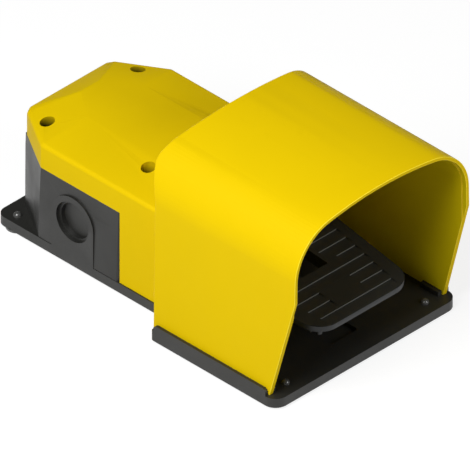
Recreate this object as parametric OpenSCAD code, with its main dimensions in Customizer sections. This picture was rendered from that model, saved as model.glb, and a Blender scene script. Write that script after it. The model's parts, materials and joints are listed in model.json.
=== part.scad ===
// Industrial foot switch: a pedal under a guard hood, hinged on a plastic base
// whose rear box holds the contact block under a screwed cover.
// X is the width, -Y is the side the foot comes from, Z = 0 is the floor.

/* [Overall] */
// Width of the base under the hood
base_w = 160; // [150:1:180]
// Length of the base, front edge to rear edge
base_len = 266; // [256:1:290]
// How far the hood reaches forward past the base
hood_reach = 13; // [6:1:20]
// Overall height, floor to the hood's crown
total_h = 140; // [132:1:160]

/* [Base] */
// Height of the rubber feet under the base
foot_h = 1.5; // [1:0.5:4]
// Diameter of a rubber foot
foot_d = 15; // [12:1:18]
// Diameter of the domed stud that holds a foot
stud_d = 5.6; // [5:0.2:7]
// Thickness of the base deck
deck_t = 6.8; // [5.5:0.1:9]
// Length of the wide front part of the base
wide_len = 109.5; // [104:0.5:116]
// Width of the narrow rear part of the base
rear_w = 117; // [112:1:124]
// Plan radius of the front corners
front_r = 9; // [6:0.5:12]
// Plan radius of the rear corners
rear_r = 7.5; // [5:0.5:9]
// Height of the side lip above the deck
lip_h = 5; // [3:0.5:8]
// Thickness of the side lip
lip_t = 2.2; // [1.6:0.1:3]
// Wall of the rear box
box_wall = 4; // [3.6:0.1:5]
// Height above the floor of the joint between rear box and cover
joint_z = 61; // [59:0.5:66]
// Distance of the rear box's rear face from the base's rear edge
rear_ledge = 5.5; // [5:0.5:9]
// Distance of the rear box's front face from the base's front edge
box_y = 159; // [158:0.5:162]
// Reach of the corner chamfer across the width
chamfer_x = 19.5; // [15:0.5:24]
// Reach of the corner chamfer along the length
chamfer_y = 32.5; // [28:0.5:38]

/* [Cable entries] */
// Bore of a cable entry
entry_d = 20; // [16:0.5:22]
// Height of the entries above the floor
entry_z = 34.2; // [32:0.1:36]
// Distance of the side entries from the rear edge
entry_back = 67; // [62:0.5:74]
// Diameter of the outer step of an entry
step_d = 28.2; // [27.6:0.2:29]
// Diameter of the inner step of an entry
seat_d = 24.5; // [24:0.1:26]
// Radius of the raised arch round an entry
arch_r = 18.2; // [17:0.1:20]

/* [Cover] */
// Wall of the cover
lid_wall = 3; // [2.6:0.1:3.4]
// Height of the cover's edge above the floor
lid_edge_z = 79; // [76:0.5:84]
// Height of the cover's flat crown above the floor
lid_crown_z = 86.5; // [84:0.5:90]
// Radius of the cover's top edges
lid_r = 3; // [2:0.5:4]
// Half width of the flat crown
crown_x = 27; // [22:1:32]
// Diameter of the recess over a cover screw
recess_d = 9.5; // [9:0.1:10.5]

/* [Hood] */
// Wall of the hood
hood_wall = 3.2; // [2.6:0.1:3.6]
// Radius of the hood's shoulders
shoulder_r = 36; // [28:1:44]
// Radius of the hood's crown
crown_r = 256; // [200:1:400]
// Inward lean of a side wall, foot to shoulder
wall_lean = 1.4; // [0.5:0.1:2]
// Height above the floor of the bend in the hood's front edge
bend_z = 86; // [76:1:96]
// Distance of the hood's front foot from the base's front edge
hood_foot = 8; // [6:0.5:11]
// How far the hood's rear top reaches back past its rear wall
brow = 9.5; // [6:0.5:11]
// Depth of the step inside the hood's front edge
rim_step = 3.6; // [2:0.2:5]

/* [Pedal] */
// Half width of the pedal at its front edge
pedal_front_x = 41; // [37:0.5:43]
// Half width of the pedal at its rear edge
pedal_rear_x = 50.5; // [46:0.5:51]
// Height of the pedal's front top edge above the floor
pedal_z = 41.3; // [39:0.1:43]
// Thickness of the pedal plate
pedal_t = 4; // [3.4:0.1:4.6]
// Slope of the pedal at rest, in degrees
pedal_slope = 5; // [4:0.5:6]
// Radius of the pedal's front corners
pedal_r = 16; // [10:0.5:20]
// Pitch of the tread steps
tread_pitch = 9.4; // [8.8:0.1:9.8]
// Height of the tread steps
tread_h = 1; // [0.6:0.1:1.2]
// Half width of the pedal's window
window_x = 11.2; // [8:0.2:13]
// Travel of the pedal, in degrees
pedal_travel = 8; // [5:0.5:8]

/* [Hinge and contact] */
// Distance of the hinge from the base's front edge
hinge_y = 136; // [134:0.5:137]
// Height of the hinge above the floor
hinge_z = 33.5; // [33:0.5:34]
// Diameter of the hinge pin
pin_d = 8; // [7:0.5:8]
// Radial running clearance of the pin in its bushes
run_gap = 0.05; // [0.02:0.01:0.09]
// Height of the push rod's axis above the floor
rod_z = 17; // [16.5:0.1:18]
// Diameter of the push rod
rod_d = 8; // [7:0.5:8]
// Radial clearance of the push rod in its guides
rod_gap = 0.1; // [0.05:0.01:0.15]
// Width of the contact block
block_w = 30; // [28:0.5:34]
// Length of the contact block
block_len = 40; // [38:0.5:42]
// Height of the contact block
block_h = 33; // [30:0.5:35]
// Wire diameter of a return spring
spring_wire = 1.6; // [1.2:0.1:1.8]
// Coil diameter of a return spring, wire centre to wire centre
spring_d = 10.4; // [9.6:0.2:10.8]

/* [Hidden] */
$fn = 64;
hull_fn = 24;
eps = 0.01;
stem_d = 4;                                 // hole through the deck for a foot's stem
gap = 0.3;                                  // clearance between parts that only lie near
front_y = (hood_reach - base_len) / 2;      // the base's front edge
rear_y = front_y + base_len;
deck_z = foot_h + deck_t;
half_w = base_w / 2;
rear_x = rear_w / 2;
step_y = front_y + wide_len;                // where the base narrows

// rear box and cover
pad_t = 1.5;                                // how far an arch stands out of the box
box_x = rear_x - pad_t;
box_rear = rear_y - rear_ledge;
box_front = front_y + box_y;
flare = 1.6;                                // draft of the box's rear, joint to deck
side_flare = 1.2;                           // draft of the box's sides
box_r = 4;
box_rear_r = 7;
rib_pitch = 25;                             // pitch of the ribs under the deck
hollow_w = rib_pitch - 2.5;
hollow_h = 3.4;
gasket_w = 2;
gasket_h = 1.5;
lid_x = rear_x - 1;
lid_corner = 2.5;                           // cut across the cover's rear corners
lid_front = step_y - 5;
lid_split = box_front - gap;                // rear end of the cover's deep front part
pass_z = deck_z + 47;                       // top of the pedal's way under the cover
screw_d = 4;
small_head = 5.5;
small_d = 3;                                // shank of the small screws
head_d = 7.5;
head_h = 2.6;
boss_d = 9;
post_hole = 22;
recess_floor = joint_z + lid_wall;
rear_screw = [39.5, rear_y - 26.2];
front_screw = [33.5, box_front - 1.5];

// hood
hood_x = half_w - lip_t - 0.4;              // outer face of the side wall at the deck
spring_z = total_h - crown_rise(hood_x - wall_lean);
hood_rear = step_y - 0.2;
hood_lug_x = hood_x - hood_wall - 6.5;
hood_lug_h = 8;
hood_lugs_y = [hood_rear - 9, hood_rear - 36];

// pedal, in its own frame: origin at the front top edge, sloping back and up
pedal_y = front_y + 0.5;
pedal_len = box_y - 47;
nub_h = 2.8;
window_y = [45.5, 75];
tread_rows = [[0, 31], [13.2, 32.5], [13.2, 34], [0, 35.5], [20.5, 37], [14.2, 38.2],
    [14.2, 39.4], [0, 40.5]];
first_tread = 9.6;
tread_ramp = 7.5;                           // length of the slope in front of a step
hub_x = 34;
hub_r = 10;
bush_wall = 2;
ear_t = 6;
ear_gap = 1;
pin_r = pin_d / 2;
bush_r = pin_r + bush_wall;
bush_len = 12;
flange_t = 0.8;
hub_y = front_y + hinge_y;
arm_t = 6;
web_h = 12;                                 // depth of the side webs below the pedal's top
rib_x = 13.8;
beam_l = 8;                                 // cross beam at the pedal's rear
pin_half = hub_x + ear_gap + ear_t + 4;
clip_x = pin_half - 2.5;
clip_t = 0.8;
fit = 0.02;                                 // radial clearance of a fixed fit

// push rod and contact block
lever_t = 4;
lever_foot_t = 3;
lever_face = 5;                             // rear face of the lever, behind the hinge axis
rod_front = hub_y + lever_face + gap;
block_front = box_front + box_wall + 3;
block_rear = block_front + block_len;
rod_rear = block_front + 27;
slot_y = block_front + 10;
slot_len = 12;
bridge_y = slot_y + 4;
bridge_t = 1.5;
rod_ratio = 18;                             // rod travel per radian of pedal travel
rod_travel = rod_ratio * pedal_travel * PI / 180;
tip_d = 4;
bridge_x = 11;
pad_h = 0.5;                                // contact pads on the bridge
strip_t = 1.2;
strip_x = 9.5;
strip_w = 5;
closed_y = bridge_y - pad_h - 0.2 - strip_t; // front face of the contacts closed at rest
open_y = bridge_y + bridge_t + pad_h + rod_travel + 0.2;
tab_l = 10;
block_top = deck_z + block_h;
lug_x = block_w / 2 + 5;
lug_h = 5;
lug_t = 3;
block_hole = 2.4;                           // depth of the block's screw holes in the deck
lug_y = (block_front + block_rear) / 2;
stop_y = front_y + 45;
stop_z = deck_z + 12;
spring_at = [21.5, pedal_y + pedal_len - beam_l - 10];
plug_depth = 5.4;                           // outer face of a plug below the arch's face
plug_t = 2;
seal_t = 1;
boss_depth = 15;

// height lost between the crown and the centre of a shoulder of outer half width x
function crown_rise(x) = crown_r - sqrt(pow(crown_r - shoulder_r, 2) - pow(x - shoulder_r, 2));

// ---- shared shapes -------------------------------------------------------------

// plan of a plate from y1 to y2 with round corners ra at y1 and rb at y2
module round_plan(w, y1, y2, ra, rb) {
    translate([-w / 2, y1 + ra]) square([w, y2 - y1 - ra - rb]);
    translate([ra - w / 2, y1]) square([w - 2 * ra, ra + eps]);
    translate([rb - w / 2, y2 - rb - eps]) square([w - 2 * rb, rb + eps]);
    for (s = [-1, 1]) {
        translate([s * (w / 2 - ra), y1 + ra]) circle(ra);
        translate([s * (w / 2 - rb), y2 - rb]) circle(rb);
    }
}

// six-cornered plan of the rear box and its cover, drawn in by inset
module box_plan(x, y1, y2, inset, r, r2) {
    hull() for (s = [-1, 1], p = [[x, y1, r, 1], [x, y2 - chamfer_y, r, -1], [x - chamfer_x, y2, r2, -1]])
        translate([s * (p[0] - inset - p[2]), p[1] + p[3] * (inset + p[2])]) circle(p[2], $fn = hull_fn);
}

module along_x(x, y, z, d, l) { translate([x, y, z]) rotate([0, 90, 0]) cylinder(d = d, h = l); }

module along_y(x, y, z, d, l) { translate([x, y, z]) rotate([-90, 0, 0]) cylinder(d = d, h = l); }

// cylinder head screw pointing down from its head's top
module screw(d, hd, hh, l) {
    difference() {
        cylinder(d = hd, h = hh);
        translate([0, 0, hh / 2]) cylinder(d = d * 0.55, h = hh, $fn = 6);
    }
    translate([0, 0, -l]) cylinder(d = d, h = l + eps);
}

module at_lid_screws() {
    for (s = [-1, 1], p = [rear_screw, front_screw]) translate([s * p[0], p[1], 0]) children();
}

module at_hood_lugs() {
    for (s = [-1, 1], y = hood_lugs_y) translate([s * hood_lug_x, y, 0]) children();
}

module at_springs() {
    for (s = [-1, 1]) translate([s * spring_at[0], spring_at[1], deck_z]) children();
}

module at_block_lugs() {
    for (s = [-1, 1]) translate([s * lug_x, lug_y, deck_z]) children();
}

// feet sit near the four corners
module at_feet() {
    for (s = [-1, 1]) {
        translate([s * (half_w - 19.2), front_y + 10.5, 0]) children();
        translate([s * (rear_x - 7.2), rear_y - 12, 0]) children();
    }
}

// ---- base ----------------------------------------------------------------------

module deck() {
    translate([0, 0, foot_h]) linear_extrude(deck_t) {
        round_plan(base_w, front_y, step_y, front_r, 2.5);
        round_plan(rear_w, step_y - 20, rear_y, 1, rear_r);
    }
}

// side lips that hold the hood's walls, their top corners rounded
module lips() {
    r = 3;
    for (s = [-1, 1]) translate([s * (half_w - lip_t / 2), 0, 0]) {
        translate([-lip_t / 2, front_y + front_r, deck_z - eps])
            cube([lip_t, wide_len - front_r - 2.5, lip_h - r + eps]);
        translate([-lip_t / 2, front_y + front_r + r, deck_z])
            cube([lip_t, wide_len - front_r - 2.5 - 2 * r, lip_h]);
        for (y = [front_y + front_r + r, step_y - 2.5 - r])
            along_x(-lip_t / 2, y, deck_z + lip_h - r, 2 * r, lip_t);
    }
}

// low ribs inside the hood's walls, near the front
module seat_ribs() {
    for (s = [-1, 1])
        translate([s * (hood_x - hood_wall - gap - 1.5) - 1.5, front_y + hood_foot + 1, deck_z - eps])
            cube([3, 16, 3.2]);
}

// arch and inner boss of a cable entry, its mouth facing +Y
module entry_boss(face_drop) {
    rotate([90, 0, 0]) linear_extrude(pad_t + face_drop) {
        translate([0, entry_z]) circle(arch_r);
        translate([-arch_r, deck_z - 1]) square([2 * arch_r, entry_z - deck_z + 1]);
    }
    along_y(0, -boss_depth, entry_z, step_d + 5, boss_depth - pad_t);
}

module entry_cut() {
    along_y(0, -2.6, entry_z, step_d, 3);
    along_y(0, -plug_depth - plug_t - seal_t, entry_z, seat_d, plug_depth + plug_t + seal_t);
    along_y(0, -boss_depth - 1, entry_z, entry_d, boss_depth);
}

// the three entries: left, right and rear
module at_side_entries() {
    for (s = [-1, 1]) translate([s * rear_x, rear_y - entry_back, 0]) rotate([0, 0, -s * 90]) children();
}

// half space outside a face that passes through y = 0 at the joint and leans out by draft at the deck
module draft_cut(draft) {
    rotate([atan(draft / (joint_z - deck_z)), 0, 0]) translate([-base_w, 0, -base_w])
        cube([2 * base_w, base_w, 2 * base_w]);
}

module box_shell() {
    difference() {
        translate([0, 0, deck_z - eps]) linear_extrude(joint_z - deck_z + eps)
            box_plan(rear_x, box_front, box_rear + 2 * flare, 0, box_r, box_rear_r);
        translate([0, box_rear, joint_z]) draft_cut(flare);
        for (s = [-1, 1]) translate([s * box_x, box_rear - chamfer_y, joint_z]) {
            rotate([0, 0, -s * atan2(chamfer_y, chamfer_x)]) draft_cut(flare);
            rotate([0, 0, -s * 90]) draft_cut(side_flare);
        }
        translate([0, 0, deck_z]) linear_extrude(joint_z)
            box_plan(box_x, box_front, box_rear, box_wall, box_r - 2, box_rear_r - 2);
        translate([0, 0, joint_z - gasket_h]) linear_extrude(joint_z)
            box_plan(box_x, box_front, box_rear, box_wall - gasket_w, box_r - 1, box_rear_r - 1);
    }
}

// grid of shallow hollows that leave ribs under the deck
module underside() {
    for (x = [-2:2], i = [0:8]) {
        y = front_y + 33 + i * rib_pitch;
        wide = i < 3;
        if ((wide || abs(x) < 2) && (x != 0 || i > 1))
            translate([x * rib_pitch - hollow_w / 2, y - hollow_w / 2, foot_h - 1])
                cube([hollow_w, hollow_w, hollow_h + 1]);
    }
}

// the two hinge ears, with foot blocks on the deck
module hinge_ears() {
    for (s = [-1, 1]) translate([s * (hub_x + ear_gap + ear_t / 2) - ear_t / 2, 0, 0]) {
        along_x(0, hub_y, hinge_z, 2 * hub_r, ear_t);
        translate([0, hub_y - hub_r, deck_z - eps]) cube([ear_t, 2 * hub_r, hinge_z - deck_z]);
    }
}

module base() {
    color([0.13, 0.13, 0.13]) difference() {
        union() {
            deck();
            lips();
            seat_ribs();
            box_shell();
            at_side_entries() entry_boss(0);
            translate([0, box_rear + flare + pad_t, 0]) entry_boss(flare);
            hinge_ears();
            at_lid_screws() translate([0, 0, deck_z - eps])
                cylinder(d = boss_d, h = joint_z - gasket_h - deck_z);
            at_springs() cylinder(d = spring_d - spring_wire - 1, h = 4);
            translate([0, stop_y, deck_z - 1]) cylinder(d = 8, h = stop_z - deck_z - 4);
            at_block_lugs() translate([0, 0, -eps]) cylinder(d = boss_d, h = lug_h);
        }
        at_side_entries() entry_cut();
        translate([0, box_rear + flare + pad_t, 0]) entry_cut();
        along_x(-half_w, hub_y, hinge_z, pin_d + 2 * fit, base_w);
        along_y(0, box_front - 5, rod_z, rod_d + 2 * rod_gap, box_wall + 10);
        along_y(0, box_front - 5, rod_z, rod_d + 5, 5 + 1.5);
        at_lid_screws() translate([0, 0, joint_z - post_hole]) cylinder(d = screw_d, h = post_hole);
        at_hood_lugs() {
            translate([0, 0, foot_h - 1]) cylinder(d = screw_d + 0.6, h = deck_t + 2);
            translate([0, 0, foot_h - 1]) cylinder(d = head_d + 1, h = 1 + head_h + 0.4);
        }
        at_feet() translate([0, 0, foot_h - 1]) cylinder(d = stem_d, h = deck_t + 2);
        underside();
        // shallow pocket in front of the end stop
        difference() {
            translate([-11.4, front_y + 19.8, deck_z - 2.4]) cube([22.8, 32, 5]);
            translate([0, stop_y, 0]) cylinder(d = 14, h = stop_z);
        }
        at_block_lugs() translate([0, 0, -block_hole]) cylinder(d = small_d + 0.2, h = 2 * lug_h);
    }
}

// ---- cover ---------------------------------------------------------------------

// closed outer form of the cover, shrunk by inset on every side but the joint
module lid_form(inset, y1, z1) {
    r = max(lid_r - inset, 0.5);
    y2 = box_rear + 1.2;
    x = lid_x;
    c = lid_corner;
    edge = [[x, y1, 1], [x, y2 - chamfer_y + c * 0.2, -1], [x - chamfer_x + 0.5 * c, y2 - 0.86 * c, -1],
        [x - chamfer_x - c, y2, -1]];
    flat = [[crown_x, y1, 1], [crown_x, y2 - chamfer_y - 7, -1], [crown_x - 16, y2 - 17, -1]];
    hull() for (s = [-1, 1]) {
        for (p = edge) translate([s * (p[0] - inset - r), p[1] + p[2] * (inset + r), z1]) {
            cylinder(r = r, h = lid_edge_z - z1 - inset - r, $fn = hull_fn);
            translate([0, 0, lid_edge_z - z1 - inset - r]) sphere(r, $fn = hull_fn);
        }
        for (p = flat) translate([s * (p[0] - r), p[1] + p[2] * (inset + r), lid_crown_z - inset - r])
            sphere(r, $fn = hull_fn);
    }
}

module lid() {
    color([0.93, 0.8, 0.0]) difference() {
        union() {
            difference() {
                union() {
                    lid_form(0, lid_front, joint_z);
                    translate([-lid_x, lid_front, deck_z])
                        cube([2 * lid_x, lid_split - lid_front, joint_z - deck_z + lid_wall]);
                }
                lid_form(lid_wall, lid_front, joint_z - 1);
                translate([lid_wall - lid_x, lid_front + lid_wall, deck_z - 1])
                    cube([2 * (lid_x - lid_wall), lid_split - lid_front, joint_z - deck_z + lid_wall + 1]);
                translate([lid_wall - lid_x, lid_front - 1, deck_z - 1])
                    cube([2 * (lid_x - lid_wall), lid_wall + 2, pass_z - deck_z + 1]);
            }
            // cross wall that closes the contact space toward the pedal
            intersection() {
                translate([-lid_x, box_front, joint_z]) cube([2 * lid_x, box_wall - gasket_w, total_h]);
                lid_form(lid_wall / 2, lid_front, joint_z);
            }
            // screw posts under the recesses, trimmed to the cover's form
            intersection() {
                at_lid_screws() translate([0, 0, joint_z]) cylinder(d = recess_d + 4, h = total_h);
                lid_form(lid_wall / 2, lid_front, joint_z);
            }
        }
        at_lid_screws() {
            translate([0, 0, recess_floor]) cylinder(d = recess_d, h = total_h);
            translate([0, 0, joint_z - 1]) cylinder(d = screw_d + 0.6, h = total_h);
        }
    }
}

// flat ring in the rebate of the box's rim
module lid_gasket() {
    color([0.2, 0.2, 0.2]) translate([0, 0, joint_z - gasket_h]) difference() {
        linear_extrude(gasket_h)
            box_plan(box_x, box_front, box_rear, box_wall - gasket_w + 0.05, box_r - 1, box_rear_r - 1);
        translate([0, 0, -1]) linear_extrude(gasket_h + 2)
            box_plan(box_x, box_front, box_rear, box_wall, box_r - 2, box_rear_r - 2);
    }
}

module lid_screws() {
    color("silver") at_lid_screws() translate([0, 0, recess_floor])
        screw(screw_d - 0.2, head_d, head_h, lid_wall + post_hole - 6);
}

// ---- hood ----------------------------------------------------------------------

// cross-section of the hood, drawn in by inset: leaning walls, round shoulders, round crown
module hood_section(inset) {
    foot_x = hood_x - inset;
    wall_x = hood_x - wall_lean - inset;
    r = shoulder_r - inset;
    cx = wall_x - r;
    cz = spring_z;
    apex = total_h - crown_r;
    side = crown_r * 1.5;
    polygon([[-foot_x, deck_z], [-wall_x, cz], [wall_x, cz], [foot_x, deck_z]]);
    for (s = [-1, 1]) translate([s * cx, cz]) circle(r, $fn = 96);
    translate([-cx, cz - 1]) square([2 * cx, 1 + r / 2]);
    intersection() {
        translate([0, apex]) circle(crown_r - inset, $fn = 720);
        polygon([[-cx, cz], [cx, cz], [cx * side / (cz - apex), apex + side],
            [-cx * side / (cz - apex), apex + side]]);
    }
}

module hood_body(inset, y1, y2) {
    translate([0, y2, 0]) rotate([90, 0, 0]) linear_extrude(y2 - y1) hood_section(inset);
}

// what is left behind the front edge: a slant from the foot to the bend, then upright
module front_trim() {
    y = front_y - hood_reach;
    rotate([90, 0, 90]) translate([0, 0, -base_w]) linear_extrude(2 * base_w)
        polygon([[y - 9, 0], [front_y + hood_foot, 0], [front_y + hood_foot, deck_z], [y, bend_z],
            [y - 9, bend_z]]);
}

// the rear edge: upright to the shoulders, then swept back into the brow
module rear_trim(inset) {
    low = spring_z + 4;
    high = total_h - 14;
    y = hood_rear - inset;
    rotate([90, 0, 90]) translate([0, 0, -base_w]) linear_extrude(2 * base_w)
        polygon([[y, 0], [y, low], [y + brow * 0.3, low + 8], [y + brow, high], [y + brow, high + 3],
            [y + brow * 0.86, high + 8], [y + brow * 0.6, total_h], [y + brow * 0.6, total_h + 9],
            [y + base_len, total_h + 9], [y + base_len, 0]]);
}

module hood() {
    y1 = front_y - hood_reach;
    y2 = hood_rear + brow;
    color([0.93, 0.8, 0.0]) difference() {
        union() {
            difference() {
                hood_body(0, y1, y2);
                difference() {
                    hood_body(hood_wall, y1 - 1, y2);
                    rear_trim(hood_wall);
                }
                hood_body(hood_wall - 0.8, y1 - 1, y1 + rim_step);
            }
            intersection() {
                at_hood_lugs() translate([0, 0, deck_z]) cylinder(d = 10, h = hood_lug_h);
                hood_body(hood_wall / 2, y1, y2);
            }
            for (s = [-1, 1], y = hood_lugs_y)
                translate([s * (hood_lug_x + 5) - 3, y - 1.5, deck_z]) cube([6, 3, hood_lug_h]);
        }
        front_trim();
        rear_trim(0);
        at_hood_lugs() translate([0, 0, deck_z - 1]) cylinder(d = screw_d, h = hood_lug_h - 0.5);
        // way through the rear wall for the cover
        translate([-lid_x - gap, lid_front - 20, deck_z - 1])
            cube([2 * (lid_x + gap), 50, lid_edge_z - lid_r - deck_z + 1]);
        lid_form(-gap, lid_front - 20, deck_z);
    }
}

module hood_screws() {
    color("silver") at_hood_lugs() translate([0, 0, foot_h + head_h + 0.4]) rotate([180, 0, 0])
        screw(screw_d - 0.2, head_d, head_h, deck_t + 2.5);
}

// ---- feet and stop ---------------------------------------------------------------

// rubber pad, stem through the deck and domed stud above it
module rubber_feet() {
    color([0.08, 0.08, 0.08]) at_feet() {
        cylinder(d = foot_d, h = foot_h);
        cylinder(d = stem_d - 0.2, h = deck_z + 0.5);
        translate([0, 0, deck_z]) difference() {
            sphere(d = stud_d);
            translate([-stud_d, -stud_d, -2 * stud_d]) cube(2 * stud_d);
        }
    }
}

module end_stop() {
    color([0.08, 0.08, 0.08]) translate([0, stop_y, deck_z]) difference() {
        cylinder(d = 14 - 0.2, h = stop_z - deck_z);
        translate([0, 0, -1]) cylinder(d = 8 + 2 * fit, h = stop_z - deck_z - 4);
    }
}

// ---- pedal ---------------------------------------------------------------------

// children drawn in the pedal's frame, placed at rest
module on_pedal() {
    translate([0, pedal_y, pedal_z]) rotate([pedal_slope, 0, 0]) children();
}

module pedal_plan(inset) {
    fx = pedal_front_x;
    r = pedal_r;
    lean = (pedal_rear_x - pedal_front_x) / pedal_len;
    rx = pedal_rear_x - inset;
    polygon([[-rx, pedal_len], [rx, pedal_len], [fx - inset + lean * r, r], [fx - r, inset], [r - fx, inset],
        [inset - fx - lean * r, r]]);
    for (s = [-1, 1]) translate([s * (fx + lean * r - r), r]) circle(r - inset);
}

// wedges cut from the top: each leaves a low step that faces the toe
module tread_steps() {
    for (i = [0:len(tread_rows) - 1]) {
        row = tread_rows[i];
        y = first_tread + i * tread_pitch;
        difference() {
            rotate([90, 0, 90]) translate([0, 0, -row[1]]) linear_extrude(2 * row[1])
                polygon([[y - tread_ramp, 1], [y - tread_ramp, 0], [y, -tread_h], [y, 1]]);
            if (row[0] > 0) translate([-row[0], y - tread_pitch, -pedal_t])
                cube([2 * row[0], 2 * tread_pitch, 2 * pedal_t]);
        }
    }
}

// side webs that carry the hub, and ribs under the plate
module pedal_webs() {
    for (s = [-1, 1]) {
        translate([s * (hub_x - arm_t / 2) - arm_t / 2, 14, -web_h]) cube([arm_t, pedal_len - 14, web_h - 1]);
        translate([s * rib_x - 1.25, 14, 2 - web_h]) cube([2.5, pedal_len - 14, web_h - 3]);
    }
    translate([3 - hub_x, pedal_len - beam_l, 0.5 - web_h]) cube([2 * hub_x - 6, beam_l - 0.5, web_h - 2]);
    translate([-6, 30, 2 - web_h]) cube([12, 14.5, web_h - 3]);
}

// web in the plane across X, from the hub to the pedal's rear beam, half as deep as the hub is wide
module arm_web(x, t, r) {
    drop = web_h * cos(pedal_slope);
    beam_y = pedal_y + pedal_len * cos(pedal_slope);
    beam_z = pedal_z + pedal_len * sin(pedal_slope);
    translate([x, 0, 0]) rotate([90, 0, 90]) linear_extrude(t)
        polygon([[hub_y - 0.6 * r, hinge_z - 0.7 * r], [hub_y + 0.4 * r, hinge_z + 0.7 * r],
            [beam_y - 3, beam_z - 1.5], [beam_y - 5, beam_z - drop + 0.5]]);
}

module hub_arms() {
    for (s = [-1, 1]) {
        along_x(s * (hub_x - arm_t / 2) - arm_t / 2, hub_y, hinge_z, 2 * hub_r - 2, arm_t);
        arm_web(s * (hub_x - arm_t / 2) - arm_t / 2 + 0.5, arm_t - 1, hub_r - 1);
    }
    along_x(-hub_x, hub_y, hinge_z, 2 * (bush_r + 2), 2 * hub_x);
}

module pedal() {
    color([0.12, 0.12, 0.12]) difference() {
        union() {
            on_pedal() {
                difference() {
                    translate([0, 0, -pedal_t]) linear_extrude(pedal_t) pedal_plan(0);
                    translate([-window_x, window_y[0], -web_h])
                        cube([2 * window_x, window_y[1] - window_y[0], 2 * web_h]);
                    tread_steps();
                }
                pedal_webs();
                for (s = [-1, 1]) translate([s * (pedal_front_x - 6), 6, -pedal_t - nub_h])
                    cylinder(d = 4, h = nub_h + 1);
            }
            hub_arms();
        }
        along_x(-half_w, hub_y, hinge_z, 2 * (bush_r + fit), base_w);
        // slot for the cam lever
        translate([-lever_t / 2 - fit, hub_y - 20, hinge_z - 30]) cube([lever_t + 2 * fit, 40, 60]);
        on_pedal() {
            translate([-10 - fit, pedal_len - fit, -web_h - 1]) cube([20 + 2 * fit, 9, web_h + 3]);
            at_lever_screws() translate([0, 0, -8.5]) cylinder(d = small_d + 0.2, h = 12);
        }
    }
}

module hinge_pin() {
    color("silver") difference() {
        along_x(-pin_half, hub_y, hinge_z, pin_d, 2 * pin_half);
        for (s = [-1, 1]) translate([s * clip_x - 0.5, hub_y, hinge_z]) rotate([0, 90, 0]) difference() {
            cylinder(d = pin_d + 2, h = 1);
            translate([0, 0, -1]) cylinder(d = pin_d - 2, h = 3);
        }
    }
}

module hinge_bushes() {
    color([0.85, 0.83, 0.78]) for (s = [-1, 1]) difference() {
        union() {
            along_x(s > 0 ? hub_x - bush_len : -hub_x, hub_y, hinge_z, 2 * bush_r, bush_len);
            along_x(s > 0 ? hub_x : -hub_x - flange_t, hub_y, hinge_z, 2 * bush_r + 3, flange_t);
        }
        along_x(-half_w, hub_y, hinge_z, 2 * (pin_r + run_gap), base_w);
    }
}

// spring clips in the pin's grooves
module pin_clips() {
    color("silver") for (s = [-1, 1])
        translate([s * clip_x - clip_t / 2, hub_y, hinge_z]) rotate([0, 90, 0]) difference() {
            cylinder(d = pin_d + 5, h = clip_t);
            translate([0, 0, -1]) cylinder(d = pin_d - 2 + 2 * fit, h = 3);
            translate([-1.8, 0, -1]) cube([3.6, pin_d, 3]);
        }
}

// screw places on the lever's foot, their axis along the pedal
module at_lever_screws() {
    for (s = [-1, 1]) translate([s * 6.5, pedal_len + lever_foot_t, -6.5]) rotate([-90, 0, 0]) children();
}

// plate that turns with the pedal and pushes the rod, screwed to the pedal's rear beam
module cam_lever() {
    color("silver") difference() {
        union() {
            along_x(-lever_t / 2, hub_y, hinge_z, 2 * (bush_r + 4), lever_t);
            translate([-lever_t / 2, hub_y - lever_face, rod_z - 5])
                cube([lever_t, 2 * lever_face, hinge_z - rod_z + 5]);
            difference() {
                arm_web(-lever_t / 2, lever_t, bush_r + 3);
                on_pedal() translate([-lever_t, pedal_len - 20, -2 * web_h])
                    cube([2 * lever_t, 20.5, 3 * web_h]);
            }
            on_pedal() translate([-10, pedal_len, 1 - web_h]) cube([20, lever_foot_t, web_h - 2]);
        }
        along_x(-lever_t, hub_y, hinge_z, pin_d + 1, 2 * lever_t);
        on_pedal() at_lever_screws() translate([0, 0, -8.5]) cylinder(d = small_d + 0.2, h = 12);
    }
}

module lever_screws() {
    color("silver") on_pedal() at_lever_screws() screw(small_d, small_head, 2, 8);
}

// ---- springs ---------------------------------------------------------------------

// coil of wire round +Z, wire centre from z = 0 to z = h
module coil(d, wire, h, turns, sides = 6, steps = 16) {
    n = turns * steps;
    ring = [for (i = [0:n]) for (k = [0:sides - 1])
        let (a = 360 * i / steps, b = 360 * k / sides, rr = d / 2 + wire / 2 * cos(b))
        [rr * cos(a), rr * sin(a), h * i / n + wire / 2 * sin(b)]];
    quads = [for (i = [0:n - 1]) for (k = [0:sides - 1])
        let (k2 = (k + 1) % sides, p = i * sides)
        [p + k, p + k2, p + sides + k2, p + sides + k]];
    ends = [[for (k = [sides - 1:-1:0]) k], [for (k = [0:sides - 1]) n * sides + k]];
    polyhedron(ring, concat(quads, ends), convexity = 10);
}

module return_springs() {
    from_edge = spring_at[1] - pedal_y;
    under = pedal_z + (from_edge - 0.5 * spring_d) * tan(pedal_slope) - pedal_t / cos(pedal_slope);
    h = under - deck_z - spring_wire - 0.4;
    color("silver") for (s = [0, 1]) mirror([s, 0, 0])
        translate([spring_at[0], spring_at[1], deck_z + spring_wire / 2 + 0.05])
            coil(spring_d, spring_wire, h, 8);
}

// ---- push rod and contacts -------------------------------------------------------

module push_rod() {
    color([0.85, 0.83, 0.78]) {
        along_y(0, rod_front, rod_z, tip_d, 3);
        along_y(0, rod_front + 2, rod_z, rod_d, rod_rear - rod_front - 2);
    }
}

module rod_seal() {
    color([0.08, 0.08, 0.08]) difference() {
        along_y(0, box_front - 1.5, rod_z, rod_d + 5 - 2 * fit, 3);
        along_y(0, box_front - 3, rod_z, rod_d + 2 * rod_gap, 6);
    }
}

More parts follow.
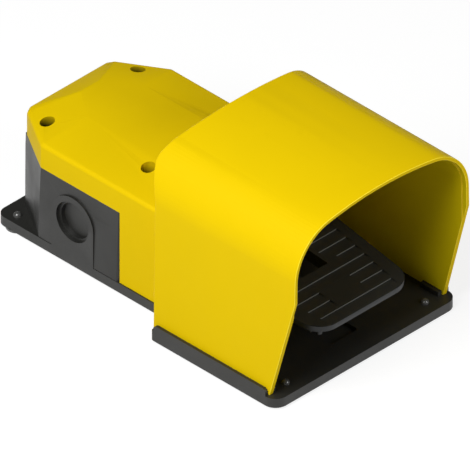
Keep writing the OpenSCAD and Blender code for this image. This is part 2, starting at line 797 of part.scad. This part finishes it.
// contact plates: at y, tab toward the block's front (-1) or rear (1), on both sides
module contact_strips(y, toward, grow) {
    for (s = [-1, 1]) translate([s * strip_x - strip_w / 2 - grow, 0, 0]) {
        translate([0, y - grow, rod_z - 3])
            cube([strip_w + 2 * grow, strip_t + 2 * grow, block_top - rod_z + 3 + strip_t]);
        translate([0, toward > 0 ? y : y + strip_t - tab_l, block_top]) cube([strip_w, tab_l, strip_t]);
    }
}

module at_terminals() {
    for (s = [-1, 1], y = [closed_y + strip_t - tab_l + 4, open_y + tab_l - 4])
        translate([s * strip_x, y, block_top + strip_t]) children();
}

module contact_block() {
    color([0.75, 0.74, 0.7]) difference() {
        union() {
            translate([-block_w / 2, block_front, deck_z]) cube([block_w, block_len, block_h]);
            translate([-2, block_front, block_top - eps]) cube([4, block_len, 5]);
            at_block_lugs() translate([0, 0, lug_h]) cylinder(d = boss_d, h = lug_t);
            translate([-lug_x, lug_y - boss_d / 2, deck_z + lug_h]) cube([2 * lug_x, boss_d, lug_t]);
        }
        along_y(0, block_front - 1, rod_z, rod_d + 2 * rod_gap, rod_rear - block_front + rod_travel + 2);
        translate([-bridge_x - 1, slot_y, rod_z - 5]) cube([2 * bridge_x + 2, slot_len, 10]);
        along_y(0, slot_y, rod_z, rod_d + 5, slot_len);
        contact_strips(closed_y, -1, 2 * fit);
        contact_strips(open_y, 1, 2 * fit);
        at_terminals() translate([0, 0, -strip_t - 7]) cylinder(d = small_d + 0.2, h = 12);
        at_block_lugs() cylinder(d = small_d + 0.2, h = 2 * lug_h + lug_t);
    }
}

module fixed_contacts() {
    color([0.8, 0.6, 0.3]) difference() {
        union() {
            contact_strips(closed_y, -1, 0);
            contact_strips(open_y, 1, 0);
        }
        at_terminals() translate([0, 0, -8]) cylinder(d = small_d + 0.2, h = 12);
    }
}

module contact_bridge() {
    color([0.8, 0.6, 0.3]) difference() {
        union() {
            translate([-bridge_x, bridge_y, rod_z - 3]) cube([2 * bridge_x, bridge_t, 6]);
            translate([0, bridge_y, 0]) along_y(0, 0, rod_z, rod_d + 3, bridge_t);
            for (s = [-1, 1]) along_y(s * strip_x, bridge_y - pad_h, rod_z, 3, bridge_t + 2 * pad_h);
        }
        along_y(0, bridge_y - 3, rod_z, rod_d + 2 * fit, bridge_t + 6);
    }
}

module terminal_screws() {
    color("silver") at_terminals() screw(small_d, small_head, 2, 6);
}

module block_screws() {
    color("silver") at_block_lugs() translate([0, 0, lug_h + lug_t])
        screw(small_d, small_head, 2, lug_h + lug_t + block_hole - 0.4);
}

// ---- cable entries ---------------------------------------------------------------

// blind discs in the two side entries; the rear one is open
module entry_plugs() {
    color([0.11, 0.11, 0.11]) at_side_entries()
        along_y(0, -plug_depth - plug_t, entry_z, seat_d - 0.2, plug_t);
}

module plug_seals() {
    color([0.08, 0.08, 0.08]) at_side_entries() difference() {
        along_y(0, -plug_depth - plug_t - seal_t, entry_z, seat_d - 0.2, seal_t);
        along_y(0, -plug_depth - plug_t - 3, entry_z, entry_d, 5);
    }
}

base();
lid();
hood();
pedal();
lid_gasket();
lid_screws();
hood_screws();
rubber_feet();
end_stop();
hinge_pin();
hinge_bushes();
pin_clips();
return_springs();
cam_lever();
lever_screws();
push_rod();
rod_seal();
contact_block();
contact_bridge();
fixed_contacts();
terminal_screws();
block_screws();
entry_plugs();
plug_seals();
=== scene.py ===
"""Industrial foot switch: looks, light and camera."""
import json
import math
import bmesh
import bpy
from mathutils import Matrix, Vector


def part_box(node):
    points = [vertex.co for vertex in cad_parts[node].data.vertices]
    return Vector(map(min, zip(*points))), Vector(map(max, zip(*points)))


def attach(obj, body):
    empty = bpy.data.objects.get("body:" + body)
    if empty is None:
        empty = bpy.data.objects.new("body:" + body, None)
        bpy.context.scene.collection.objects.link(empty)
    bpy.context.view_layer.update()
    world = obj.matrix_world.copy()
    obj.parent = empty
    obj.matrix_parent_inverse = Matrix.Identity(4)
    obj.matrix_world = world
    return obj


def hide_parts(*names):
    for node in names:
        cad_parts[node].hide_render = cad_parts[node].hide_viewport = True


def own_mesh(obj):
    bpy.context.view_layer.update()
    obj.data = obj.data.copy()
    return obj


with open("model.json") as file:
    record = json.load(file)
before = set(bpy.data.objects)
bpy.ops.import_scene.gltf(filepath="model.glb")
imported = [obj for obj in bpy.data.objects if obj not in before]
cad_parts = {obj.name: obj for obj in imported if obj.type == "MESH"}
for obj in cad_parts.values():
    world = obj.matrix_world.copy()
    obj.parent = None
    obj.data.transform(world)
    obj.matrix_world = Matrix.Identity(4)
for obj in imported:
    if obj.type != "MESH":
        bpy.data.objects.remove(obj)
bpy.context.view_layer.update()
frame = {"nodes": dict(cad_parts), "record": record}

nodes = frame["nodes"]
body_of = {n: b for b, ns in frame["record"]["behaviour"]["bodies"].items() for n in ns}
scene = bpy.context.scene
scene.view_settings.view_transform = "Standard"

# all lengths in metres
SCREW_HEAD_R = 0.00375    # head of a cover screw
RECESS_R = 0.00475        # recess over a cover screw
FRONT_SCREW_X = 0.0335    # a front cover screw's distance from the middle
SHADE_TOP = 0.0035         # painted shade in the screw recesses starts this far under the crown of the cover
SHADE_DEEP = 0.012         # and is darkest this far under it
SHADE_AT_TOP = 0.25        # share of the painted shade where it starts
HIGHLIGHT_FULL = 0.03          # the hood's rounded edges carry the full painted highlight this far from the mouth
HIGHLIGHT_GONE = 0.06          # and plain this far from it
TREAD_STEP = 0.0016       # a face of the treadle lower than this is the wall of a tread step
TOE_EDGE = 0.004          # the treadle's front edge, which is no tread step
HOOD_AXIS_Z = 0.05        # height of the line that the hood's inner walls look toward
MERGE = 4e-5              # points nearer than this are one


# ---- materials ---------------------------------------------------------------

def empty_tree(owner):
    """The node tree of a material or world, with nothing in it."""
    owner.use_nodes = True
    owner.node_tree.nodes.clear()
    return owner.node_tree


def add(tree, kind, **settings):
    """A new shader node of a kind, with its settings."""
    made = tree.nodes.new("ShaderNode" + kind)
    for key, value in settings.items():
        setattr(made, key, value)
    return made


def feed(tree, socket, source):
    """Links a socket to another node's output, or sets it to a constant."""
    if isinstance(source, bpy.types.NodeSocket):
        tree.links.new(source, socket)
    else:
        socket.default_value = source


def maths(tree, operation, a, b=None):
    """The output of a Math node on one or two sources."""
    made = add(tree, "Math", operation=operation)
    feed(tree, made.inputs[0], a)
    if b is not None:
        feed(tree, made.inputs[1], b)
    return made.outputs[0]


def noise(tree, place, scale, detail):
    """Noise at a place: its scale is cells in a metre, its detail the octaves added."""
    made = add(tree, "TexNoise")
    feed(tree, made.inputs["Vector"], place)
    feed(tree, made.inputs["Scale"], scale)
    feed(tree, made.inputs["Detail"], detail)
    return made.outputs["Fac"]


def ramp(tree, value, start, end, low=0.0, high=1.0):
    """Straight from low, where the value is start, to high, where it is end, and level beyond."""
    made = add(tree, "MapRange")
    for name, source in (("Value", value), ("From Min", start), ("From Max", end), ("To Min", low), ("To Max", high)):
        feed(tree, made.inputs[name], source)
    return made.outputs["Result"]


def blended(tree, share, first, second):
    """The first colour where the share is 0, the second where it is 1."""
    made = add(tree, "Mix", data_type="RGBA")
    for name, source in (("Factor", share), ("A", first), ("B", second)):
        feed(tree, made.inputs[name], source)
    return made.outputs["Result"]


def new_group(name, inputs, outputs):
    """An empty node group, and the nodes that bring its inputs and take its outputs."""
    group = bpy.data.node_groups.new(name, "ShaderNodeTree")
    for way, sockets in (("INPUT", inputs), ("OUTPUT", outputs)):
        for label, kind in sockets:
            group.interface.new_socket(label, in_out=way, socket_type="NodeSocket" + kind)
    return group, group.nodes.new("NodeGroupInput"), group.nodes.new("NodeGroupOutput")


def grain_group():
    """Moulding: two colours in broad mottling, roughness in patches between its two ends, and a fine raised grain."""
    g, given, out = new_group(
        "moulded_grain",
        (("Color A", "Color"), ("Color B", "Color"), ("Grain scale", "Float"), ("Grain depth", "Float"),
         ("Rough low", "Float"), ("Rough high", "Float")),
        (("Color", "Color"), ("Roughness", "Float"), ("Normal", "Vector")))
    place = add(g, "TexCoord").outputs["Object"]
    feed(g, out.inputs["Color"],
         blended(g, noise(g, place, 22.0, 4.0), given.outputs["Color A"], given.outputs["Color B"]))
    feed(g, out.inputs["Roughness"],
         ramp(g, noise(g, place, 60.0, 6.0), 0.3, 0.7, given.outputs["Rough low"], given.outputs["Rough high"]))
    bump = add(g, "Bump")
    feed(g, bump.inputs["Distance"], 0.00008)
    feed(g, bump.inputs["Strength"], given.outputs["Grain depth"])
    feed(g, bump.inputs["Height"], noise(g, place, given.outputs["Grain scale"], 2.0))
    feed(g, out.inputs["Normal"], bump.outputs["Normal"])
    return g


def recess_shade_group():
    """Painted shade in the cover's screw recesses: none outside their radius, inside it a quarter near the crown of
    the cover, rising straight to full at the bottom. The four places are two, mirrored across the middle."""
    g, given, out = new_group("recess_painted_shade", (("Color", "Color"), ("Shade", "Color")), (("Color", "Color"),))
    split = add(g, "SeparateXYZ")
    feed(g, split.inputs[0], add(g, "TexCoord").outputs["Object"])
    low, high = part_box("lid_screws")
    reach = []
    for x, y in ((high[0] - SCREW_HEAD_R, high[1] - SCREW_HEAD_R), (FRONT_SCREW_X, low[1] + SCREW_HEAD_R)):
        spot = add(g, "CombineXYZ")
        feed(g, spot.inputs["X"], maths(g, "ABSOLUTE", split.outputs["X"]))
        feed(g, spot.inputs["Y"], split.outputs["Y"])
        away = add(g, "VectorMath", operation="DISTANCE")
        feed(g, away.inputs[0], spot.outputs[0])
        feed(g, away.inputs[1], (x, y, 0))
        reach.append(away.outputs["Value"])
    inside = maths(g, "LESS_THAN", maths(g, "MINIMUM", *reach), RECESS_R + 0.0001)
    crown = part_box("lid")[1][2]
    deep = ramp(g, split.outputs["Z"], crown - SHADE_TOP, crown - SHADE_DEEP, SHADE_AT_TOP)
    feed(g, out.inputs["Color"],
         blended(g, maths(g, "MULTIPLY", inside, deep), given.outputs["Color"], given.outputs["Shade"]))
    return g


def rim_highlight_group():
    """Painted highlight on the hood's rounded edges: the paler colour at the mouth, turning straight to the plain one
    behind it.
    """
    g, given, out = new_group("rim_painted_highlight", (("Color", "Color"), ("Plain", "Color")), (("Color", "Color"),))
    split = add(g, "SeparateXYZ")
    feed(g, split.inputs[0], add(g, "TexCoord").outputs["Object"])
    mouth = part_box("hood")[0][1]
    fade = ramp(g, split.outputs["Y"], mouth + HIGHLIGHT_FULL, mouth + HIGHLIGHT_GONE)
    feed(g, out.inputs["Color"], blended(g, fade, given.outputs["Color"], given.outputs["Plain"]))
    return g


GRAIN = grain_group()


def moulded(name, rgb, spread, rough, grain_scale, grain_depth, specular=0.5, metallic=0.0):
    """A moulded or plated surface: its colour less and more the spread, mottled over each other, with grain and
    uneven gloss between the two ends of rough."""
    mat = bpy.data.materials.new(name)
    nt = empty_tree(mat)
    shader, grain = add(nt, "BsdfPrincipled"), add(nt, "Group", node_tree=GRAIN)
    nt.links.new(shader.outputs["BSDF"], add(nt, "OutputMaterial").inputs["Surface"])
    for label, value in (("Color A", [c * (1 - spread) for c in rgb] + [1]),
                         ("Color B", [min(1, c * (1 + spread)) for c in rgb] + [1]),
                         ("Grain scale", grain_scale), ("Grain depth", grain_depth),
                         ("Rough low", rough[0]), ("Rough high", rough[1])):
        grain.inputs[label].default_value = value
    for label, socket in (("Color", "Base Color"), ("Roughness", "Roughness"), ("Normal", "Normal")):
        nt.links.new(grain.outputs[label], shader.inputs[socket])
    shader.inputs["Metallic"].default_value = metallic
    shader.inputs["Specular IOR Level"].default_value = specular
    return mat


def recoloured(mat, group, label, rgb):
    """The material with its colour sent through a group, whose other colour, label, is rgb."""
    nt = mat.node_tree
    colour = next(n for n in nt.nodes if n.type == "BSDF_PRINCIPLED").inputs["Base Color"]
    through = add(nt, "Group", node_tree=group)
    feed(nt, through.inputs["Color"], colour.links[0].from_socket)
    feed(nt, through.inputs[label], (*rgb, 1))
    feed(nt, colour, through.outputs["Color"])
    return mat


# colour, spread, roughness from and to, grain scale, grain depth, specular level
YELLOW = ((0.78, 0.545, 0.0012), 0.025, (0.46, 0.54), 2600, 0.12, 0.04)
FINISHES = {
    "yellow": moulded("yellow_plastic", *YELLOW),
    # the lid's yellow, darkened toward the bottoms of its screw recesses: painted shade
    "cover": recoloured(moulded("cover_plastic", *YELLOW), recess_shade_group(), "Shade", (0.05, 0.04, 0.002)),
    # a paler, glossier yellow for the hood's rounded edges near the mouth: a painted highlight
    "rim_highlight": recoloured(moulded("painted_highlight_yellow_edge", (0.98, 0.76, 0.03), 0.02, (0.34, 0.4), 2600, 0.06, 0.12),
                         rim_highlight_group(), "Plain", YELLOW[0]),
    # a darker, greener copy of the yellow for the hood's inner walls: painted shade
    "inner": moulded("inner_yellow_plastic", (0.65, 0.512, 0.003), 0.03, (0.5, 0.58), 2600, 0.12, 0.03),
    "black": moulded("black_plastic", (0.0165, 0.0165, 0.0145), 0.12, (0.4, 0.5), 2200, 0.25),
    "pedal": moulded("pedal_plastic", (0.023, 0.0245, 0.025), 0.14, (0.36, 0.46), 2000, 0.2, 0.3),
    # pale grey for the walls of the treadle's tread steps: a painted highlight
    "riser_highlight": moulded("painted_highlight_pedal_step", (0.14, 0.14, 0.125), 0.2, (0.3, 0.4), 2000, 0.1, 0.45),
    "rubber": moulded("rubber", (0.012, 0.012, 0.012), 0.2, (0.6, 0.8), 1500, 0.4, 0.3),
    "stud": moulded("foot_rubber", (0.06, 0.06, 0.057), 0.1, (0.2, 0.28), 1500, 0.1, 0.9),
    "zinc": moulded("zinc_steel", (0.62, 0.62, 0.6), 0.08, (0.25, 0.4), 900, 0.15, metallic=1.0),
    "steel": moulded("steel", (0.55, 0.55, 0.55), 0.08, (0.2, 0.32), 1200, 0.1, metallic=1.0),
    "nylon": moulded("nylon", (0.7, 0.67, 0.58), 0.04, (0.35, 0.45), 1800, 0.1),
    "block": moulded("block_plastic", (0.5, 0.48, 0.42), 0.05, (0.4, 0.5), 1800, 0.15),
    "brass": moulded("contact_metal", (0.7, 0.5, 0.22), 0.08, (0.22, 0.35), 1200, 0.1, metallic=1.0),
}
FINISH_OF = {
    "base": "black", "lid": "cover", "hood": "yellow", "pedal": "pedal", "lid_gasket": "rubber",
    "lid_screws": "zinc", "hood_screws": "zinc", "rubber_feet": "stud", "end_stop": "rubber",
    "hinge_pin": "steel", "hinge_bushes": "nylon", "pin_clips": "steel", "return_springs": "steel",
    "cam_lever": "steel", "lever_screws": "zinc", "push_rod": "nylon", "rod_seal": "rubber",
    "contact_block": "block", "contact_bridge": "brass", "fixed_contacts": "brass",
    "terminal_screws": "zinc", "block_screws": "zinc", "entry_plugs": "black", "plug_seals": "rubber",
}
for name, finish in FINISH_OF.items():
    slots = nodes[name].data.materials
    slots.clear()
    slots.append(FINISHES[finish])


# ---- pieces ------------------------------------------------------------------

def face_width(face, edge):
    """How far a face reaches from an edge: area over edge length, or twice area over rim for a long ribbon."""
    if len(face.verts) > 8:
        return 2 * face.calc_area() / sum(e.calc_length() for e in face.edges)
    return face.calc_area() / max(edge.calc_length(), 1e-9)


def mark_risers(bm):
    """Slot 1, a paler grey that paints a highlight, for the low walls of the treadle that face the toe, behind its
    front edge.
    """
    toe = min(v.co.y for v in bm.verts) + TOE_EDGE
    for f in bm.faces:
        heights = [v.co.z for v in f.verts]
        f.material_index = int(f.normal.y < -0.9 and min(v.co.y for v in f.verts) > toe
                               and max(heights) - min(heights) < TREAD_STEP and len(f.verts) < 9)


def mark_inner_walls(bm):
    """Slot 2, a darker, greener yellow that paints shade, for the walls that look toward the hood's axis, x = 0 at
    its height, and not out of its ends.
    """
    for f in bm.faces:
        spot = f.calc_center_median()
        toward = Vector((-spot.x, 0, HOOD_AXIS_Z - spot.z)).normalized()
        f.material_index = 2 if f.normal.dot(toward) > 0.25 and abs(f.normal.y) < 0.8 else 0


def rounded_copy(node, width, angle=28.0, mark=None, finishes=(), edge_slot=None):
    """A copy of a CAD node whose edges sharper than angle degrees are rounded over width, or over about a third
    of a narrower face beside them. mark gives its faces their slots, finishes are the slots after the first, and
    edge_slot is the slot of the rounding itself."""
    mesh = nodes[node].data.copy()
    mesh.name = node + "_rounded"
    bm = bmesh.new()
    bm.from_mesh(mesh)
    bmesh.ops.remove_doubles(bm, verts=bm.verts, dist=MERGE)
    bmesh.ops.dissolve_degenerate(bm, edges=bm.edges, dist=MERGE / 4)
    bmesh.ops.dissolve_limit(bm, angle_limit=math.radians(0.4), verts=bm.verts, edges=bm.edges)
    weight = bm.edges.layers.float.new("bevel_weight_edge")
    for e in bm.edges:
        if len(e.link_faces) == 2 and e.calc_face_angle(0) > math.radians(angle):
            room = min(face_width(f, e) for f in e.link_faces)
            e[weight] = min(1.0, 0.34 * room / width)
    if mark:
        mark(bm)
    bm.to_mesh(mesh)
    bm.free()
    piece = bpy.data.objects.new(node + "_shell", mesh)
    scene.collection.objects.link(piece)
    bevel = piece.modifiers.new("round", "BEVEL")
    bevel.width = width
    bevel.segments = 3
    bevel.limit_method = "WEIGHT"
    bevel.harden_normals = True
    bevel.use_clamp_overlap = True
    mesh.polygons.foreach_set("use_smooth", [True] * len(mesh.polygons))
    mesh.set_sharp_from_angle(angle=math.radians(32))
    for finish in finishes:
        mesh.materials.append(FINISHES[finish])
    if edge_slot is not None:
        bevel.material = edge_slot
    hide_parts(node)
    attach(piece, body_of[node])


def sprung_coils():
    """The return springs as their own piece, riding with the body that holds them."""
    piece = bpy.data.objects.new("spring_coils", nodes["return_springs"].data.copy())
    scene.collection.objects.link(piece)
    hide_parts("return_springs")
    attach(piece, body_of["return_springs"])
    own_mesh(piece)


# the hood's roundings take the painted highlight near the mouth, its inner walls painted shade
rounded_copy("hood", 0.0009, mark=mark_inner_walls, finishes=("rim_highlight", "inner"), edge_slot=1)
rounded_copy("lid", 0.0004, 40)
rounded_copy("base", 0.0006)
rounded_copy("pedal", 0.0007, mark=mark_risers, finishes=("riser_highlight",))
sprung_coils()


# ---- light, floor and camera ---------------------------------------------------

FLOOR_SIZE = 3.0          # half a side
FLOOR_DROP = 0.0002       # the feet stand just clear of the floor's own face
FLOOR_GREY = 0.5          # what the floor throws back onto the object
FLOOR_GLOW = 1.62         # its own white, where it is looked at or reflected
GLOW_SHARE = 0.5          # and the share of it there; the rest keeps the object's shadow
WORLD_LIGHT = 0.08


def floor_white():
    """A pale floor that the camera and reflections see as near white, under a light shadow of the object."""
    mat = bpy.data.materials.new("floor_white")
    nt = empty_tree(mat)
    matt, glow = add(nt, "BsdfDiffuse"), add(nt, "Emission")
    feed(nt, matt.inputs["Color"], (FLOOR_GREY, FLOOR_GREY, FLOOR_GREY, 1))
    feed(nt, glow.inputs["Color"], (1, 1, 1, 1))
    feed(nt, glow.inputs["Strength"], FLOOR_GLOW)
    path, mix = add(nt, "LightPath"), add(nt, "MixShader")
    seen = maths(nt, "MAXIMUM", path.outputs["Is Camera Ray"], path.outputs["Is Glossy Ray"])
    feed(nt, mix.inputs["Fac"], maths(nt, "MULTIPLY", seen, GLOW_SHARE))
    feed(nt, mix.inputs[1], matt.outputs["BSDF"])
    feed(nt, mix.inputs[2], glow.outputs["Emission"])
    feed(nt, add(nt, "OutputMaterial").inputs["Surface"], mix.outputs["Shader"])
    return mat


def area(name, place, aim, size, watts):
    """A soft square light at place, turned to aim."""
    data = bpy.data.lights.new(name, "AREA")
    data.shape = "SQUARE"
    data.size = size
    data.energy = watts
    obj = bpy.data.objects.new(name, data)
    scene.collection.objects.link(obj)
    obj.location = place
    obj.rotation_euler = (Vector(aim) - Vector(place)).to_track_quat("-Z", "Y").to_euler()


floor_mesh = bpy.data.meshes.new("floor")
floor_mesh.from_pydata([(x * FLOOR_SIZE, y * FLOOR_SIZE, 0) for x, y in ((-1, -1), (1, -1), (1, 1), (-1, 1))],
                       [], [(0, 1, 2, 3)])
floor_mesh.materials.append(floor_white())
floor = bpy.data.objects.new("floor", floor_mesh)
scene.collection.objects.link(floor)
floor.location = (0, 0, -FLOOR_DROP)

scene.world = bpy.data.worlds.new("studio")
sky = empty_tree(scene.world)
dome = add(sky, "Background")
feed(sky, dome.inputs["Color"], (1, 1, 1, 1))
feed(sky, dome.inputs["Strength"], WORLD_LIGHT)
feed(sky, add(sky, "OutputWorld").inputs["Surface"], dome.outputs["Background"])

area("key_top", (-0.93, -0.1, 1.08), (0, 0, 0.06), 0.8, 21)
area("fill_front", (0.4, -1.3, 0.75), (0, 0, 0.04), 0.5, 8)

# a true isometric view, from the front left
AZIMUTH, ELEVATION = math.radians(-45), math.asin(1 / math.sqrt(3))
VIEW_WIDTH = 0.2901
VIEW_AIM = Vector((0.01599, 0.00493, 0.02123))
VIEW_DISTANCE = 1.5
back = Vector((math.sin(AZIMUTH) * math.cos(ELEVATION), -math.cos(AZIMUTH) * math.cos(ELEVATION),
               math.sin(ELEVATION)))
cam_data = bpy.data.cameras.new("camera")
cam_data.type = "ORTHO"
cam_data.ortho_scale = VIEW_WIDTH
camera = bpy.data.objects.new("camera", cam_data)
scene.collection.objects.link(camera)
camera.location = VIEW_AIM + back * VIEW_DISTANCE
camera.rotation_euler = (-back).to_track_quat("-Z", "Y").to_euler()
scene.camera = camera
